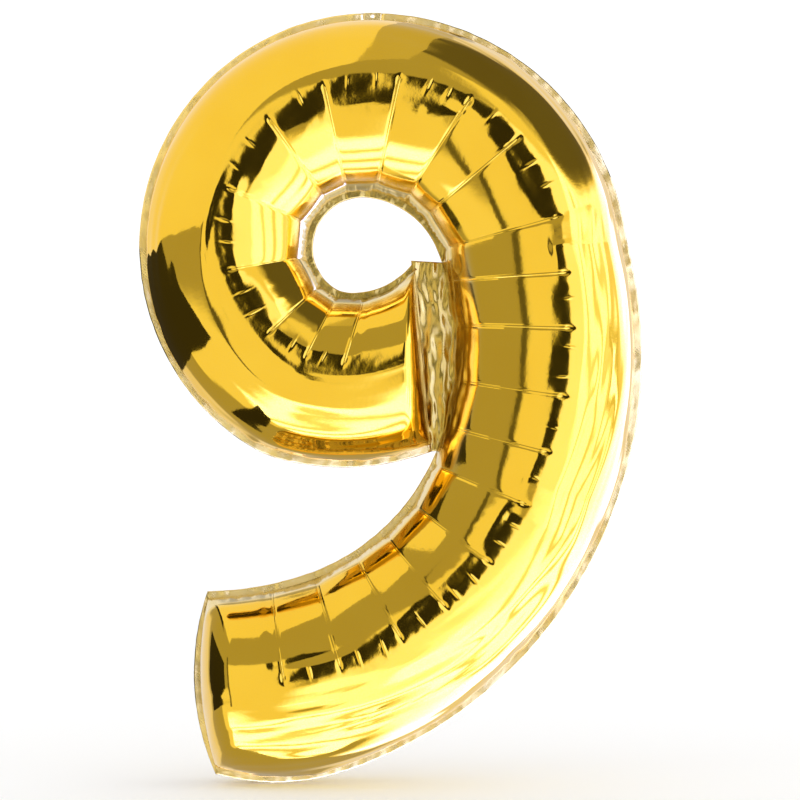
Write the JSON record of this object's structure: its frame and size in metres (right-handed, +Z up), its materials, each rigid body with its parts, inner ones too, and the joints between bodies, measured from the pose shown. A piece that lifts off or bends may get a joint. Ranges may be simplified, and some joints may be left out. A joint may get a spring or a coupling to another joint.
{
  "type": "foil number balloon",
  "caption": "Inflated gold foil balloon in the shape of a figure nine, with welded flat seam margins, an open eye, a hanging hole and a folded filler neck.",
  "frame": {"origin": "middle of the bounding box's bottom face, under the lowest point of the tail's weld", "axes": "+X to the right as the figure reads, +Z up along the figure's height, -Y the front that the figure reads from; the two skins meet in the plane Y = 0"},
  "size_m": [0.5641, 0.1862, 0.863],
  "materials": {
    "gold_foil": "vacuum-metallised mirror gold film, inflated tight",
    "weld_foil": "heat-sealed flat margin, pale gold, slightly duller than the skins",
    "valve_film": "thin clear polyethylene film"
  },
  "bodies": {
    "balloon": {"front_skin_loop_bottom": "gold_foil", "front_skin_loop_left": "gold_foil", "front_skin_loop_top": "gold_foil", "front_skin_shoulder": "gold_foil", "front_skin_stem": "gold_foil", "front_skin_underside": "gold_foil", "front_skin_tail": "gold_foil", "rear_skin_loop_bottom": "gold_foil", "rear_skin_loop_left": "gold_foil", "rear_skin_loop_top": "gold_foil", "rear_skin_shoulder": "gold_foil", "rear_skin_stem": "gold_foil", "rear_skin_underside": "gold_foil", "rear_skin_tail": "gold_foil", "outer_seam_left": "weld_foil", "outer_seam_right": "weld_foil", "eye_seam": "weld_foil", "bay_seam": "weld_foil", "tail_end_seam": "weld_foil", "loop_web": "gold_foil", "hang_tab": "weld_foil", "valve_front_film": "valve_film", "valve_rear_film": "valve_film", "valve_edge_welds": "valve_film"},
    "neck": {"neck_lower_ply": "gold_foil", "neck_upper_ply": "gold_foil", "neck_side_welds": "weld_foil"}
  },
  "joints": [
    {"name": "neck_fold", "type": "hinge", "parent": "balloon", "child": "neck", "pos_m": [-0.128, 0.0017, 0.00199], "axis": [-1, 0, 0], "range_deg": [0, 100]}
  ]
}
